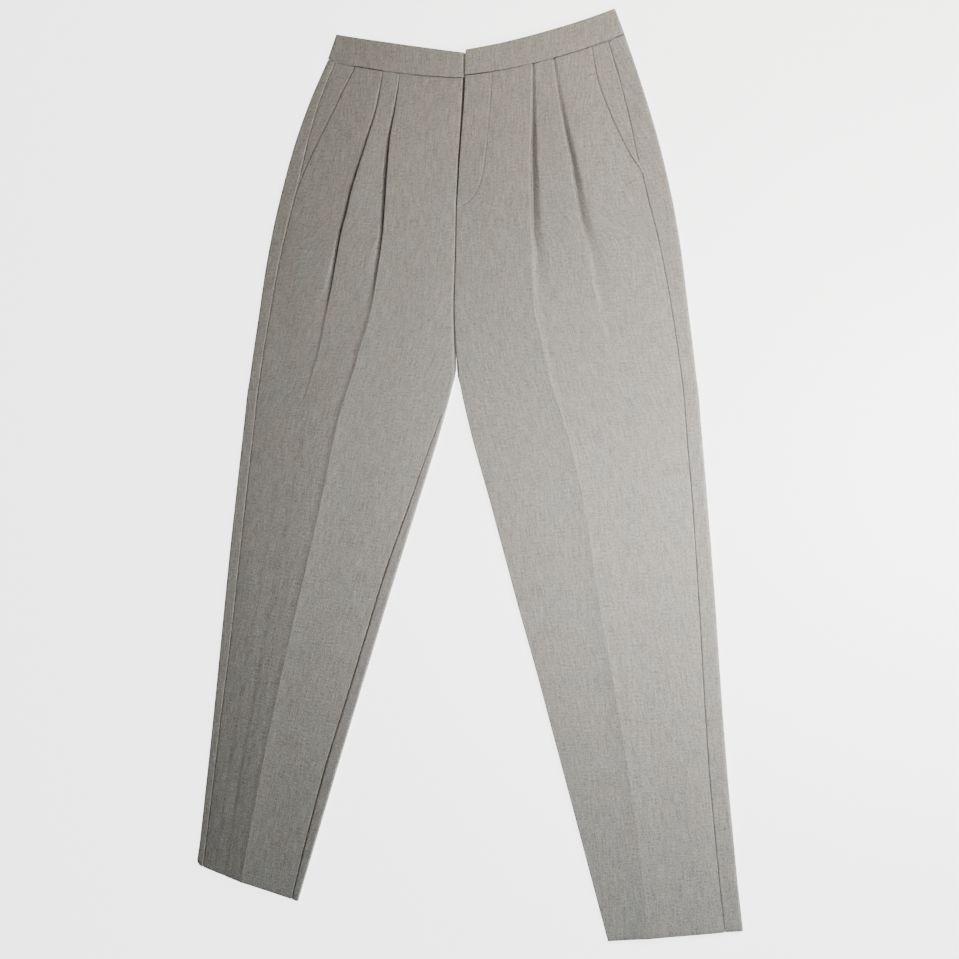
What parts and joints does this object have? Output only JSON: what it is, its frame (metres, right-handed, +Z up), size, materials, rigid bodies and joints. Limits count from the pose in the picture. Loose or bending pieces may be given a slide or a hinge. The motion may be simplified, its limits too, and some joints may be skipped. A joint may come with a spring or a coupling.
{
  "type": "pleated dress trousers",
  "caption": "High-waisted, tapered dress trousers laid flat, with pleated fronts, pressed creases, slanted side pockets and a plain waistband.",
  "frame": {"origin": "middle of the underside, on the surface that the trousers lie on", "axes": "+Y towards the waist, +X towards the wearer's left, +Z up out of the front"},
  "size_m": [0.6628, 1.0293, 0.0061],
  "materials": {
    "suiting": "fine plain weave of slubbed yarn, matt",
    "zip": "woven tape, matt"
  },
  "bodies": {
    "root": {"front_left": "suiting", "front_right": "suiting", "back_left": "suiting", "back_right": "suiting", "waistband_left": "suiting", "waistband_right": "suiting", "pocket_facing_left": "suiting", "pocket_facing_right": "suiting", "fly_shield": "suiting", "zip_tape": "zip"}
  },
  "joints": []
}
